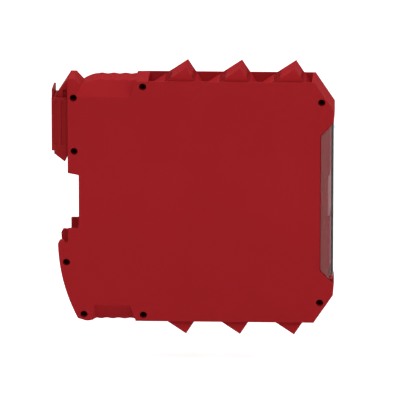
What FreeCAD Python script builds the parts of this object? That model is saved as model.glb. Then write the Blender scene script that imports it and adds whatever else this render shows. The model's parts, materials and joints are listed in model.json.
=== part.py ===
import FreeCAD, Part
import math
import os

import Sketcher

# Slim safety relay for a 35 mm DIN rail: a red clamshell housing with pluggable screw terminals
# in two saw-tooth rows, a sprung rail latch, and a clear flap over the indicator panel.
#
# Frame: +X out of the rail towards the user, +Y across the width, +Z up the cabinet wall.
# The origin is on the rail's front plane, at the rail's centre line and the housing's mid-width.
# Lengths are in millimetres, angles in degrees.

os.makedirs("parts", exist_ok=True)
doc = FreeCAD.newDocument("safety_relay")
sheet = doc.addObject("Spreadsheet::Sheet", "Sizes")
sheet_rows = []


# ---------------------------------------------------------------- sizes that know their formula

class Size:
    """A length together with the sheet formula that gives it, so that features can be bound to it."""

    def __init__(self, value, formula):
        self.value = value
        self.formula = formula

    def __add__(self, other):
        other = as_size(other)
        return Size(self.value + other.value, f"({self.formula} + {other.formula})")

    def __radd__(self, other):
        return as_size(other) + self

    def __sub__(self, other):
        other = as_size(other)
        return Size(self.value - other.value, f"({self.formula} - {other.formula})")

    def __rsub__(self, other):
        return as_size(other) - self

    def __mul__(self, other):
        other = as_size(other)
        return Size(self.value * other.value, f"({self.formula} * {other.formula})")

    def __rmul__(self, other):
        return self * other

    def __truediv__(self, other):
        other = as_size(other)
        return Size(self.value / other.value, f"({self.formula} / {other.formula})")

    def __neg__(self):
        return Size(-self.value, f"(0 - {self.formula})")


def as_size(number):
    """Let a plain number take part in a formula."""
    return number if isinstance(number, Size) else Size(float(number), f"({number:.6g})")


def cosine(angle):
    return Size(math.cos(math.radians(angle.value)), f"cos({angle.formula})")


def sine(angle):
    return Size(math.sin(math.radians(angle.value)), f"sin({angle.formula})")


def tangent(angle):
    return Size(math.tan(math.radians(angle.value)), f"tan({angle.formula})")


def driving(alias, value):
    """Enter one driving size in the sheet and return it."""
    sheet_rows.append(alias)
    row = len(sheet_rows)
    sheet.set(f"A{row}", alias.replace("_", " "))
    sheet.set(f"B{row}", str(value))
    sheet.setAlias(f"B{row}", alias)
    return Size(value, f"Sizes.{alias}")


# ---------------------------------------------------------------- drawing and extruding

ORIGIN_PLANE = {"x": "YZ_Plane", "y": "XZ_Plane", "z": "XY_Plane"}
NORMAL_SIGN = {"x": 1, "y": -1, "z": 1}


def bind(target, prop, length):
    """Bind a property to a size's formula."""
    target.setExpression(prop, as_size(length).formula)


def new_body(label):
    body = doc.addObject("PartDesign::Body", label)
    body.Label = label
    body.AllowCompound = True
    return body


def blank_sketch(body, name, axis):
    """Empty sketch on the body's own origin plane that is square to the axis."""
    sketch = body.newObject("Sketcher::SketchObject", f"{body.Label}_{name}")
    plane = next(f for f in body.Origin.OriginFeatures if f.Role == ORIGIN_PLANE[axis])
    sketch.AttachmentSupport = (plane, [""])
    sketch.MapMode = "FlatFace"
    return sketch


def arc_middle(start, end, radius, bulge):
    """Point halfway along an arc of the radius, on the left (+1) or right (-1) of its chord."""
    chord = end - start
    half = chord.Length / 2
    rise = radius - math.sqrt(max(radius ** 2 - half ** 2, 0))
    left = FreeCAD.Vector(-chord.y, chord.x, 0) / chord.Length
    return (start + end) / 2 + left * rise * bulge


def draw_outline(sketch, corners):
    """
    Closed outline through corners, each (across, up), bound to their sizes. A corner
    (across, up, radius, bulge) goes on to the next one by an arc that bulges left (+1) or right (-1).
    """
    places = [FreeCAD.Vector(as_size(c[0]).value, as_size(c[1]).value, 0) for c in corners]
    first = sketch.GeometryCount
    heads = []
    for number, corner in enumerate(corners):
        start = places[number]
        end = places[(number + 1) % len(corners)]
        if len(corner) == 2:
            sketch.addGeometry(Part.LineSegment(start, end))
            heads.append(1)
        else:
            middle = arc_middle(start, end, corner[2].value, corner[3])
            sketch.addGeometry(Part.Arc(start, middle, end))
            drawn = sketch.Geometry[first + number]
            heads.append(1 if drawn.StartPoint.distanceToPoint(start) < 1e-6 else 2)
    joins = []
    for number in range(len(corners)):
        following = (number + 1) % len(corners)
        joins.append(Sketcher.Constraint("Coincident", first + number, 3 - heads[number],
                                         first + following, heads[following]))
    sketch.addConstraint(joins)
    for number, corner in enumerate(corners):
        edge, head = first + number, heads[number]
        across = sketch.addConstraint(
            Sketcher.Constraint("DistanceX", -1, 1, edge, head, places[number].x))
        up = sketch.addConstraint(
            Sketcher.Constraint("DistanceY", -1, 1, edge, head, places[number].y))
        bind(sketch, f"Constraints[{across}]", corner[0])
        bind(sketch, f"Constraints[{up}]", corner[1])
        if len(corner) > 2:
            bend = sketch.addConstraint(Sketcher.Constraint("Radius", edge, corner[2].value))
            bind(sketch, f"Constraints[{bend}]", corner[2])


def draw_circle(sketch, across, up, radius):
    """Circle bound to its centre and radius."""
    centre = FreeCAD.Vector(as_size(across).value, as_size(up).value, 0)
    ring = sketch.addGeometry(Part.Circle(centre, FreeCAD.Vector(0, 0, 1), as_size(radius).value))
    bind(sketch, f"Constraints[{sketch.addConstraint(Sketcher.Constraint('Radius', ring, as_size(radius).value))}]",
         radius)
    for kind, place, length in (("DistanceX", centre.x, across), ("DistanceY", centre.y, up)):
        number = sketch.addConstraint(Sketcher.Constraint(kind, -1, 1, ring, 3, place))
        bind(sketch, f"Constraints[{number}]", length)


def rectangle(across, up):
    """Corners of a rectangle from its (low, high) on each of the two axes."""
    return [(across[0], up[0]), (across[1], up[0]), (across[1], up[1]), (across[0], up[1])]


def prism(across, up, radius, sides=8):
    """Corners of a regular polygon, for round things out of sight and for small screws."""
    corners = []
    for step in range(sides):
        angle = math.pi * (2 * step + 1) / sides
        corners.append((as_size(across) + as_size(radius) * math.cos(angle),
                        as_size(up) + as_size(radius) * math.sin(angle)))
    return corners


def extrude(body, sketch, length, cut, backwards):
    """Pad or pocket a sketch by a length."""
    feature = body.newObject("PartDesign::Pocket" if cut else "PartDesign::Pad", f"{sketch.Name}_solid")
    feature.Profile = sketch
    feature.Length = as_size(length).value
    bind(feature, "Length", length)
    feature.Reversed = backwards
    body.Tip = feature
    return feature


def layer(body, name, axis, span, outlines=(), circles=(), cut=False):
    """
    Add (or cut) the outlines and circles between two places along an axis. Outlines are drawn
    in the other two axes, in the order X, Y, Z.
    """
    low, high = span
    sketch = blank_sketch(body, name, axis)
    bind(sketch, "AttachmentOffset.Base.z", low * NORMAL_SIGN[axis])
    for corners in outlines:
        draw_outline(sketch, corners)
    for circle in circles:
        draw_circle(sketch, *circle)
    towards_normal = NORMAL_SIGN[axis] > 0
    return extrude(body, sketch, high - low, cut, backwards=towards_normal if cut else not towards_normal)


def label_piece(piece, label):
    piece.Label = label
    return piece


def block(name, x, y, z):
    """Part::Box between the (low, high) places on each axis."""
    box = doc.addObject("Part::Box", name)
    for prop, span in (("Length", x), ("Width", y), ("Height", z)):
        bind(box, prop, as_size(span[1]) - span[0])
    for axis, span in (("x", x), ("y", y), ("z", z)):
        bind(box, f"Placement.Base.{axis}", span[0])
    return box


def rod(name, axis, centre, radius, span):
    """Part::Cylinder along an axis; the centre gives the other two coordinates in X, Y, Z order."""
    cylinder = doc.addObject("Part::Cylinder", name)
    bind(cylinder, "Radius", radius)
    bind(cylinder, "Height", as_size(span[1]) - span[0])
    turn = {"x": FreeCAD.Rotation(FreeCAD.Vector(0, 1, 0), 90),
            "y": FreeCAD.Rotation(FreeCAD.Vector(1, 0, 0), -90),
            "z": FreeCAD.Rotation()}[axis]
    cylinder.Placement = FreeCAD.Placement(FreeCAD.Vector(), turn)
    others = [a for a in "xyz" if a != axis]
    bind(cylinder, f"Placement.Base.{axis}", span[0])
    for other, place in zip(others, centre):
        bind(cylinder, f"Placement.Base.{other}", place)
    return cylinder


def cut(name, base, tool):
    piece = doc.addObject("Part::Cut", name)
    piece.Base = base
    piece.Tool = tool
    return piece


def fuse(name, pieces):
    piece = doc.addObject("Part::MultiFuse", name)
    piece.Shapes = pieces
    return piece


def placed(pattern, label, up, x, z):
    """Copy of a pattern moved to (x, z), turned over about X for the bottom row."""
    piece = doc.addObject("Part::Compound", f"{label}_copy")
    piece.Label = label
    piece.Links = [pattern]
    turn = FreeCAD.Rotation(FreeCAD.Vector(1, 0, 0), 0 if up > 0 else 180)
    piece.Placement = FreeCAD.Placement(FreeCAD.Vector(), turn)
    bind(piece, "Placement.Base.x", x)
    bind(piece, "Placement.Base.z", z)
    return piece


def group(name, pieces):
    """Separate like solids kept as one sub-part."""
    piece = doc.addObject("Part::Compound", name)
    piece.Links = pieces
    return piece


# ---------------------------------------------------------------- driving sizes

# Housing
housing_width = 22.5  # Housing across its two side walls
housing_height = 99.0  # Housing from top edge to bottom edge
housing_depth = 107.2  # Rail front plane to the housing's front face
side_wall = 1.1  # Side wall thickness
outer_wall = 1.5  # Rim wall thickness
corner_run = 7.8  # Front corner slope, along the depth
corner_rise = 11.5  # Front corner slope, along the height
fit_gap = 0.3  # Clearance between pieces that move past each other

# Rail notch, for a 35 mm top-hat rail
rail_half = 17.5  # Half the rail's width
rail_slot = 1.1  # Slot behind the rail's front plane, at the hook
notch_depth = 4.4  # How far the notch clears the rail's front plane
notch_top = 11.6  # Top of the notch, at the back face
notch_slope = 0.85  # Drop of the notch's top edge
notch_bottom = 11.4  # Bottom of the notch below the rail's centre
hook_depth = 4.1  # Hook behind the rail's front plane
hook_height = 1.3  # Hook tip above its slot
hook_wall = 2.0  # Side wall thickness around the hook
recess_drop = 3.6  # Recess between the hooks, below the rail's edge
back_bulge = 70.0  # Radius of the curved lower back
foot_x = 3.85  # Where the curved back ends, along the depth
foot_flat_x = 7.2  # Where the flat underside begins
foot_rise = 1.0  # Height of the lower back corner above the underside

# Finger grips and the lug above the latch
grip_lag = 3.2  # Front end of the ribbed grips behind the plugs' trough
grip_ramp = 1.2  # Ramp from the grips up to the flat edge
grip_sink = 0.05  # Grips below the flat edge
grip_bend_x = 13.0  # Where the top grip starts to bend down
grip_bend = 13.3  # Radius of that bend
valley_x = 5.5  # Valley between the grip and the lug
valley_drop = 2.8  # Valley below the top edge
lug_front = 2.8  # Front of the lug's flat top
lug_back = 0.35  # Back of the lug's flat top
lug_rise = 0.7  # Lug above the top edge
lug_angle = 57.4  # Slope of the lug's back flank
rib_pitch = 4.8  # Pitch of the grip's hollows
rib_first = 10.6  # First hollow, along the depth
rib_radius = 4.6  # Radius of each hollow
rib_deep = 0.36  # Depth of each hollow
bevel_width = 4.05  # How far the grip's bevel goes in from the side
bevel_drop = 6.5  # How far the bevel comes down the side wall
bevel_back = 3.6  # Back end of the near top bevel
bevel_fade = 2.4  # How far that end leans forward
bevel_lag = 4.2  # Front end of the bevels behind the grips' front end
bevel_flare = 3.4  # How far the bevel's front end leans forward
low_bevel_back = 10.5  # Back end of the bottom bevel

# Terminal plugs
plug_pitch = 21.9  # Pitch of the terminal plugs
last_peak_back = 15.7  # Last plug's corner behind the front face
peak_rise = 5.3  # Plug corners beyond the housing's edge
plug_angle = 33.5  # Slope of the wire entry face
plug_back = 15.0  # Plug behind its corner
plug_front = 6.5  # Plug in front of its corner
plug_skirt = 16.5  # Plug's shoulder below its corner
pole_pitch = 5.0  # Pitch of the four poles
plug_margin = 2.3  # Plug beyond its outer poles
nose_half = 4.7  # Half the plug's nose, along the depth
nose_centre = 4.6  # Nose and pins behind the plug's corner
nose_length = 10.3  # Plug's nose below its shoulder
nose_margin = 1.0  # Nose narrower than the plug, each side
header_wall = 1.1  # Wall of the pin header
header_floor = 1.5  # Floor of the pin header
deck_thick = 1.4  # Housing wall under the plugs
pin_size = 1.0  # Square pin
pin_reach = 7.8  # Pin inside the plug's nose
clamp_depth = 5.9  # Clamp screw's axis below the wire entry face
entry_place = 9.0  # Wire entry behind the plug's corner, along its face
entry_size = 3.3  # Wire entry's side
screw_hole = 1.95  # Screwdriver hole's radius
head_radius = 1.75  # Clamp screw head's radius
head_length = 2.0  # Clamp screw head's length
head_sink = 1.3  # Clamp screw head below the face
shank_radius = 1.25  # Clamp screw's thread radius
shank_length = 4.2  # Clamp screw's thread length
slot_width = 0.6  # Screw slot's width
slot_deep = 0.8  # Screw slot's depth
chamber_top = 5.2  # Clamp chamber behind the screw face
chamber_length = 7.2  # Clamp chamber's length
chamber_side = 5.6  # Clamp chamber's side
chamber_width = 4.3  # Clamp chamber's width
cage_gap = 0.3  # Cage inside its chamber
cage_wall = 0.7  # Cage wall
contact_thick = 0.5  # Contact spring's thickness

# Rail latch and its spring
latch_half_width = 7.7  # Half the latch's width
latch_back = 6.65  # Latch behind the rail's front plane
latch_web = 1.55  # Latch's back web
latch_drop = 8.4  # Top of the latch's flanges below the lug
latch_bottom = 20.1  # Bottom of the latch's back web
latch_flange = 1.0  # Latch's side flanges
latch_tip_x = 1.3  # Latch tip behind the rail's front plane
latch_tip_drop = 2.0  # Latch tip below the rail's edge
latch_ramp_angle = 38.0  # Slope of the latch's snap-on ramp
latch_travel = 3.5  # Latch's travel
spike_thick = 0.95  # Latch's pry edge thickness
spike_rise = 3.5  # Latch's pry edge above its flanges
guide_back = 4.8  # Guide block behind the rail's front plane
foot_thick = 4.5  # Latch foot's thickness at the rail edge
tongue_thick = 0.9  # Latch's guide tongues
tongue_reach = 0.9  # Tongues inside their grooves
tongue_place = 0.85  # Tongues behind the rail's front plane
spring_radius = 1.05  # Latch spring's mean radius
spring_wire = 0.22  # Latch spring's wire radius
spring_room = 1.5  # Radius of the spring's pocket
spring_length = 15.0  # Latch spring's fitted length

# Clear flap, indicator panel
window_depth = 5.4  # Flap's cut-out behind the front face
window_margin = 4.6  # Front face left above and below the cut-out
window_flare = 5.7  # Cut-out's flare towards the front face
flap_thick = 1.0  # Flap's wall
hinge_rise = 3.0  # Flap's pivot above the cut-out's lower corner
barrel_radius = 0.95  # Flap's pivot eye radius
pivot_radius = 0.55  # Pivot stub's radius
pivot_fit = 0.06  # Pivot's radial clearance
panel_recess = 2.3  # Indicator panel's face behind the front face
panel_thick = 1.2  # Indicator panel's wall
panel_deep = 4.6  # Indicator panel's side walls
panel_lip = 2.3  # Panel's flange behind the housing's front lip
strip_low = -5.3  # Marking strip's lower edge
strip_high = 10.9  # Marking strip's upper edge
strip_thick = 0.25  # Marking strip's thickness
lamp_height = -8.9  # Indicator row's height
lamp_pitch = 5.0  # Indicator pitch
lamp_radius = 1.4  # Light pipe's radius

# Closing pins
boss_radius = 2.1  # Closing boss's radius
boss_hole = 1.45  # Closing hole's radius
boss_pin = 1.42  # Closing pin's radius
boss_pin_length = 3.4  # Closing pin's length

# Boards and what they carry
board_thick = 1.2  # Circuit board
board_lift = 0.65  # Main board off the side wall
board_back = 12.0  # Main board's back edge
board_recess = 9.6  # Main board's front edge behind the front face
board_clear = 0.6  # Main board's edge short of the headers
leg_margin = 1.4  # Outermost pin legs inside the board's edge
leg_pitch = 2.5  # Pitch of the pin legs
post_radius = 1.6  # Board clamping post's radius
relay_length = 40.0  # Switching relay's length
relay_height = 13.0  # Switching relay's height on the board plane
relay_tall = 16.2  # Switching relay off the board
relay_lag = 13.7  # Switching relays' back end behind the first plug's corner
relay_gap = 2.0  # Gap between the two switching relays
core_width = 12.0  # Supply transformer's core along the depth
core_height = 15.0  # Supply transformer's core height
core_tall = 12.0  # Supply transformer's core off the board
core_limb = 2.8  # Core's outer limbs
can_radius = 4.0  # Capacitor's radius
can_tall = 12.5  # Capacitor's height
front_board_half = 14.0  # Half the indicator board's height
connector_half = 6.0  # Half the board connector's length

# Each size above gets its own cell in the sheet, and from here on its name stands for that cell
for alias, number in [entry for entry in globals().items() if isinstance(entry[1], float)]:
    globals()[alias] = driving(alias, number)


# ---------------------------------------------------------------- sizes worked out from them

half_width = housing_width / 2
half_height = housing_height / 2
inner_width = half_width - side_wall
front = housing_depth
first_peak = front - last_peak_back - plug_pitch * 2
peak_height = half_height + peak_rise
plug_half = pole_pitch * 1.5 + plug_margin
deck_top = peak_height - plug_skirt - fit_gap - 0.1
deck_low = deck_top - deck_thick
header_low = deck_low - 10.5
bay_back = first_peak - plug_back - fit_gap
bay_front = first_peak + plug_pitch * 2 + plug_front + fit_gap
grip_end = bay_back - grip_lag
bevel_front = grip_end - bevel_lag
window_back = front - window_depth
window_front_half = half_height - corner_rise - window_margin
window_half = window_front_half - window_flare
hinge_height = window_front_half - hinge_rise
panel_face = front - panel_recess
board_front = front - board_recess
board_half = header_low - board_clear
leg_low = board_half - leg_margin - leg_pitch * 3
relay_back = first_peak - relay_lag
latch_top = half_height + lug_rise - latch_drop
grip_top = half_height - grip_sink
hinge_x = front - flap_thick
main_board_face = inner_width - board_lift - board_thick
main_board_back = inner_width - board_lift
spring_top = rail_half + foot_thick + spring_length
flange_inside = latch_half_width - latch_flange
guide_half = flange_inside - fit_gap
guide_bottom = rail_half + foot_thick + latch_travel + fit_gap + 0.2
pole_places = [pole_pitch * step for step in (-1.5, -0.5, 0.5, 1.5)]


def mirrored(corners):
    """The same outline turned upside down."""
    flipped = []
    for corner in reversed(corners):
        flipped.append((corner[0], -as_size(corner[1])))
    return flipped


# ---------------------------------------------------------------- housing halves

# Two moulded halves that meet at mid-width. Both carry the full outline, the trough for the plugs,
# half of the hook and of the latch's guide block; the near half has the closing holes and the far
# half the pins that press into them.

closing_points = [
    (as_size(2.4), half_height - 7.1), (as_size(2.6), rail_half + 3.0),
    (bay_back - boss_radius, half_height - 2.3), (front - 4.9, half_height - 8.2),
    (front - 5.4, 8.25 - half_height), (bay_back - 2.0, 2.5 - half_height),
    (as_size(6.3), 2.6 - half_height), (as_size(-0.7), -rail_half - 7.85),
]
post_points = [(x, z * up) for up in (1, -1) for x, z in (
    (board_back + 4.0, board_half - 5.4), (board_front - 5.0, board_half - 5.4))]
grip_hollows = math.floor(((grip_end - rib_first) / rib_pitch).value) + 1


def side_outline():
    """Outline of a side wall, from the lower back corner round by the front and the top."""
    return [
        (foot_flat_x, -half_height),
        (foot_flat_x + 1.5, grip_sink - half_height),
        (grip_end, grip_sink - half_height),
        (grip_end + grip_ramp, -half_height),
        (front - corner_run, -half_height),
        (front, corner_rise - half_height),
        (front, -window_front_half),
        (window_back, -window_half),
        (window_back, window_half),
        (front, window_front_half),
        (front, half_height - corner_rise),
        (front - corner_run, half_height),
        (grip_end + grip_ramp, half_height),
        (grip_end, grip_top),
        (grip_bend_x, grip_top, grip_bend, -1),
        (valley_x, half_height - valley_drop),
        (lug_front, half_height + lug_rise),
        (lug_back, half_height + lug_rise),
        (0, half_height + lug_rise - lug_back * tangent(lug_angle)),
        (0, notch_top),
        (notch_depth, notch_top - notch_slope),
        (notch_depth, -notch_bottom),
        (0, -notch_bottom),
        (0, -rail_half),
        (-rail_slot, -rail_half),
        (-rail_slot - 0.5, hook_height - 0.1 - rail_half),
        (0.8 - hook_depth, hook_height - rail_half),
        (-hook_depth, -rail_half - 0.1, back_bulge, -1),
        (foot_x, foot_rise - half_height),
    ]


def cavity_outline():
    """Hollow inside the rim walls."""
    wall = outer_wall
    lean = corner_run / corner_rise
    slant = wall * 1.2
    front_cavity_back = bay_front + wall
    upper_corner = [
        (front - wall, window_front_half + 1.2),
        (front - wall, half_height - corner_rise - 0.6),
        (front_cavity_back, half_height - slant / lean - (front_cavity_back - front + corner_run) / lean),
        (front_cavity_back, deck_low),
        (bay_back - wall, deck_low),
        (bay_back - wall, grip_top - wall - rib_deep),
        (grip_bend_x, grip_top - wall - rib_deep),
        (valley_x + 1.2, half_height - valley_drop - 2.2),
        (wall, half_height - valley_drop - 2.2),
        (wall, notch_top + wall),
        (notch_depth + wall, notch_top + wall - notch_slope),
    ]
    lower_corner = [
        (notch_depth + wall, -notch_bottom - wall),
        (notch_depth + wall - 1.3, 0.3 - rail_half),
        (notch_depth + wall - 2.9, -rail_half - recess_drop - wall + 0.4),
        (0.4 + wall - hook_depth, -rail_half - recess_drop - wall - 0.6, back_bulge - wall, -1),
        (foot_x + wall, wall + foot_rise - half_height),
        (foot_flat_x + 0.4, wall + rib_deep + grip_sink - half_height),
        (bay_back - wall, wall + rib_deep + grip_sink - half_height),
        (bay_back - wall, -deck_low),
        (front_cavity_back, -deck_low),
        (front_cavity_back,
         slant / lean + (front_cavity_back - front + corner_run) / lean - half_height),
        (front - wall, corner_rise + 0.6 - half_height),
        (front - wall, -window_front_half - 1.2),
    ]
    return lower_corner + upper_corner


def grip_bevel(body, name, side, back, fade, upright):
    """
    Bevel from the side wall in to the grip's ribs: a loft between a trapezium on the side wall's
    face and a narrower one at the ribs' end. Its back end leans forward by the fade.
    """
    rim = half_height + 3.0
    sections = []
    for section, (inset, base) in (("face", (0, half_height - bevel_drop)),
                                   ("root", (bevel_width, grip_top + 0.02))):
        drift = inset * 0.25
        end = back + as_size(inset) / bevel_width * fade
        outline = [
            (end, base), (bevel_front + drift * 3, base),
            (bevel_front + bevel_flare + drift, rim), (end - 0.8, rim),
        ]
        sketch = blank_sketch(body, f"{name}_{section}", "y")
        bind(sketch, "AttachmentOffset.Base.z", (half_width - inset) * -side)
        draw_outline(sketch, outline if upright else mirrored(outline))
        sections.append(sketch)
    loft = body.newObject("PartDesign::SubtractiveLoft", f"{body.Label}_{name}")
    loft.Profile = sections[0]
    loft.Sections = [sections[1]]
    loft.Ruled = True
    body.Tip = loft


def housing_half(label, side):
    """One moulded half; side is -1 for the near one and +1 for the far one."""
    body = new_body(label)

    def across(inner, outer):
        """Span along Y between two distances from mid-width, on this half's side."""
        inner, outer = as_size(inner), as_size(outer)
        return (inner, outer) if side > 0 else (-outer, -inner)

    layer(body, "wall", "y", across(0, half_width), [side_outline()])
    layer(body, "hollow", "y", across(0, inner_width), [cavity_outline()], cut=True)

    # Web behind each grip bevel, so that the bevel keeps a wall's thickness
    web_out, web_in = inner_width + 0.1, inner_width - bevel_width
    web_low, web_high = half_height - bevel_drop - 0.8, grip_top - outer_wall + 0.2
    web = [(web_out * side, web_low), (web_out * side, web_high), (web_in * side, web_high)]
    layer(body, "bevel_webs", "x", (valley_x + 3.0, bay_back - 0.4), [web, mirrored(web)])
    lug_web_high = half_height - valley_drop - 0.4
    lug_web_in = web_out - bevel_width * 0.74
    layer(body, "lug_web", "x", (outer_wall - 0.1, valley_x + 3.1), [[
        (web_out * side, web_low), (web_out * side, lug_web_high), (lug_web_in * side, lug_web_high)]])

    # Trough for the plugs above and below, its deck pierced for the three pin headers
    rim = half_height + 1.0
    layer(body, "troughs", "y", across(0, inner_width), [
        rectangle((bay_back, bay_front), (deck_top, rim)),
        rectangle((bay_back, bay_front), (-rim, -deck_top)),
    ], cut=True)
    windows = []
    header_half = nose_half + fit_gap + header_wall + fit_gap / 2
    for number in range(3):
        middle = first_peak + plug_pitch * number - nose_centre
        span = (middle - header_half, middle + header_half)
        windows.append(rectangle(span, (deck_low - 0.1, deck_top + 0.1)))
        windows.append(rectangle(span, (-deck_top - 0.1, 0.1 - deck_low)))
    layer(body, "header_windows", "y", across(0, inner_width), windows, cut=True)

    # Front opening for the indicator panel, between the two front lips
    layer(body, "front_opening", "y", across(0, inner_width), [
        rectangle((front - outer_wall - 0.1, front + 0.1), (-window_front_half, window_front_half)),
    ], cut=True)

    # Recess between the two hooks, open to the back for the rail's lower edge
    layer(body, "rail_recess", "y", across(0, half_width - hook_wall), [[
        (notch_depth - 0.02, 0.5 - notch_bottom), (notch_depth - 1.0, -notch_bottom - 1.6),
        (notch_depth - 1.5, 1.1 - rail_half), (notch_depth - 3.0, 0.6 - rail_half - recess_drop),
        (1.6 - hook_depth, -rail_half - recess_drop), (-hook_depth - 2.0, 1.0 - rail_half - recess_drop),
        (-hook_depth - 2.0, 0.5 - notch_bottom),
    ]], cut=True)

    # Guide block for the latch: its back flank goes on from the lug's
    flank_foot = half_height + lug_rise - (lug_back + guide_back) * tangent(lug_angle)
    layer(body, "guide_block", "y", across(0, guide_half), [[
        (0.2, half_height + lug_rise - (lug_back - 0.2) * tangent(lug_angle)),
        (-guide_back, flank_foot), (-guide_back, guide_bottom), (0.2, guide_bottom),
    ]])
    groove_high = latch_top + latch_travel - 0.4
    layer(body, "guide_groove", "y", across(flange_inside - tongue_reach - fit_gap, guide_half + 0.1), [
        rectangle((-tongue_place - tongue_thick - fit_gap, fit_gap - tongue_place),
                  (guide_bottom - 0.1, groove_high)),
    ], cut=True)
    layer(body, "spring_pocket", "z", (guide_bottom - 0.1, spring_top),
          circles=[(-guide_back / 2, 0, spring_room)], cut=True)

    # Ribbed finger grips: hollows across the crest, then the bevels at their end
    hollows = []
    for number in range(grip_hollows):
        place = rib_first + rib_pitch * number
        hollows.append((place, grip_top + rib_radius - rib_deep, rib_radius))
        hollows.append((place, rib_deep - rib_radius - grip_top, rib_radius))
    layer(body, "grip_hollows", "y", across(0, half_width), circles=hollows, cut=True)
    if side < 0:
        grip_bevel(body, "top_bevel", side, bevel_back, bevel_fade, upright=True)
    else:
        grip_bevel(body, "top_bevel", side, -hook_depth, 0, upright=True)
    grip_bevel(body, "bottom_bevel", side, low_bevel_back, 1.0, upright=False)

    # Closing bosses
    reach = across(0, inner_width + 0.1)
    layer(body, "bosses", "y", reach, [prism(x, z, boss_radius) for x, z in closing_points])
    if side < 0:
        layer(body, "closing_holes", "y", across(-0.1, half_width + 0.1),
              circles=[(x, z, boss_hole) for x, z in closing_points], cut=True)
        layer(body, "board_posts", "y", (-inner_width - 0.1, main_board_face),
              [prism(x, z, post_radius) for x, z in post_points])
    else:
        layer(body, "closing_pins", "y", (-boss_pin_length, as_size(0.1)),
              [prism(x, z, boss_pin) for x, z in closing_points])
        layer(body, "board_pads", "y", (main_board_back, inner_width + 0.1),
              [prism(x, z, post_radius * 1.5) for x, z in post_points])
    return body


sub_parts = [housing_half("near_half_shell", -1), housing_half("far_half_shell", 1)]


# ---------------------------------------------------------------- rail latch and its spring

# U-shaped slide behind the housing: two flanges run past the guide block's sides, the foot snaps
# behind the rail's upper edge, and a screwdriver in the notch at its top lifts it.

def rail_latch():
    body = new_body("rail_latch")
    tip_z = rail_half - latch_tip_drop
    ramp_back = latch_back - 1.0
    full = (-latch_half_width, latch_half_width)
    layer(body, "slide", "y", full, [[
        (-latch_back, latch_bottom),
        (-ramp_back, latch_bottom),
        (-ramp_back, tip_z + (ramp_back - latch_tip_x) * tangent(latch_ramp_angle)),
        (-latch_tip_x, tip_z),
        (-fit_gap, rail_half + 0.1),
        (-fit_gap, latch_top),
        (-latch_back, latch_top),
    ]])
    layer(body, "pry_edge", "y", (-guide_half, guide_half), [[
        (-latch_back, latch_top - 0.5), (spike_thick - latch_back, latch_top - 0.5),
        (spike_thick - latch_back, latch_top + spike_rise - 0.3),
        (spike_thick - latch_back - 0.25, latch_top + spike_rise),
        (0.25 - latch_back, latch_top + spike_rise), (-latch_back, latch_top + spike_rise - 0.3),
    ]])
    inner = flange_inside
    layer(body, "channel", "y", (-inner, inner), [
        rectangle((latch_web - latch_back, as_size(0.1)), (rail_half + foot_thick, latch_top + 0.1)),
    ], cut=True)
    for name, low, high in (("near_tongue", -inner - 0.1, tongue_reach - inner),
                            ("far_tongue", inner - tongue_reach, inner + 0.1)):
        layer(body, name, "y", (low, high), [
            rectangle((-tongue_place - tongue_thick, -tongue_place),
                      (rail_half + foot_thick - 0.1, latch_top - 1.0)),
        ])
    # Shallow upright grooves outside each flange
    for name, low, high in (("near_grooves", -latch_half_width - 0.1, 0.35 - latch_half_width),
                            ("far_grooves", latch_half_width - 0.35, latch_half_width + 0.1)):
        layer(body, name, "y", (low, high), [
            rectangle((1.0 - latch_back, 2.3 - latch_back), (latch_bottom + 2.5, latch_top - 1.2)),
            rectangle((3.9 - latch_back, 5.2 - latch_back), (latch_bottom + 2.5, latch_top - 1.2)),
        ], cut=True)
    return body


def latch_spring():
    """Compression spring between the latch's foot and the roof of its pocket."""
    coil = doc.addObject("Part::Helix", "latch_spring_coil")
    bind(coil, "Radius", spring_radius)
    bind(coil, "Height", spring_length - spring_wire * 2)
    bind(coil, "Pitch", (spring_length - spring_wire * 2) / 6)
    wire = doc.addObject("Part::RegularPolygon", "latch_spring_wire")
    wire.Polygon = 4
    bind(wire, "Circumradius", spring_wire)
    wire.Placement = FreeCAD.Placement(FreeCAD.Vector(), FreeCAD.Rotation(FreeCAD.Vector(1, 0, 0), 90))
    bind(wire, "Placement.Base.x", spring_radius)
    sweep = doc.addObject("Part::Sweep", "latch_spring_sweep")
    sweep.Sections = [wire]
    sweep.Spine = (coil, [])
    sweep.Solid = True
    sweep.Frenet = True
    bind(sweep, "Placement.Base.x", -guide_back / 2)
    bind(sweep, "Placement.Base.z", rail_half + foot_thick + spring_wire)
    return label_piece(sweep, "latch_spring")


sub_parts += [rail_latch(), latch_spring()]


# ---------------------------------------------------------------- pin headers and their pins

def header_block():
    """Open shroud that passes the deck, with four square holes in its floor for the pins."""
    body = new_body("header_pattern")
    half = nose_half + fit_gap + header_wall
    mouth = half - header_wall
    width = plug_half - fit_gap / 2
    mouth_width = plug_half + fit_gap - nose_margin
    layer(body, "shroud", "z", (header_low, deck_top), [rectangle((-half, half), (-width, width))])
    layer(body, "mouth", "z", (header_low + header_floor, deck_top + 0.1), [
        rectangle((-mouth, mouth), (-mouth_width, mouth_width))], cut=True)
    layer(body, "pin_holes", "z", (header_low - 0.1, header_low + header_floor + 0.1), [
        rectangle((-pin_size / 2, pin_size / 2), (place - pin_size / 2, place + pin_size / 2))
        for place in pole_places], cut=True)
    return body


def bent_pins(up):
    """Four bent pins: up into the plug's nose, and across into the main board, nested by height."""
    body = new_body("pins_pattern_top" if up > 0 else "pins_pattern_bottom")
    top = header_low + header_floor + pin_reach
    half = pin_size / 2
    outlines = []
    for step, place in enumerate(pole_places):
        leg = leg_low + leg_pitch * step
        bend = [
            (place - half, top), (place - half, leg - half), (main_board_back + 0.4, leg - half),
            (main_board_back + 0.4, leg + half), (place + half, leg + half), (place + half, top),
        ]
        outlines.append(bend if up > 0 else mirrored(bend))
    layer(body, "bent", "x", (-half, half), outlines)
    return body


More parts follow.
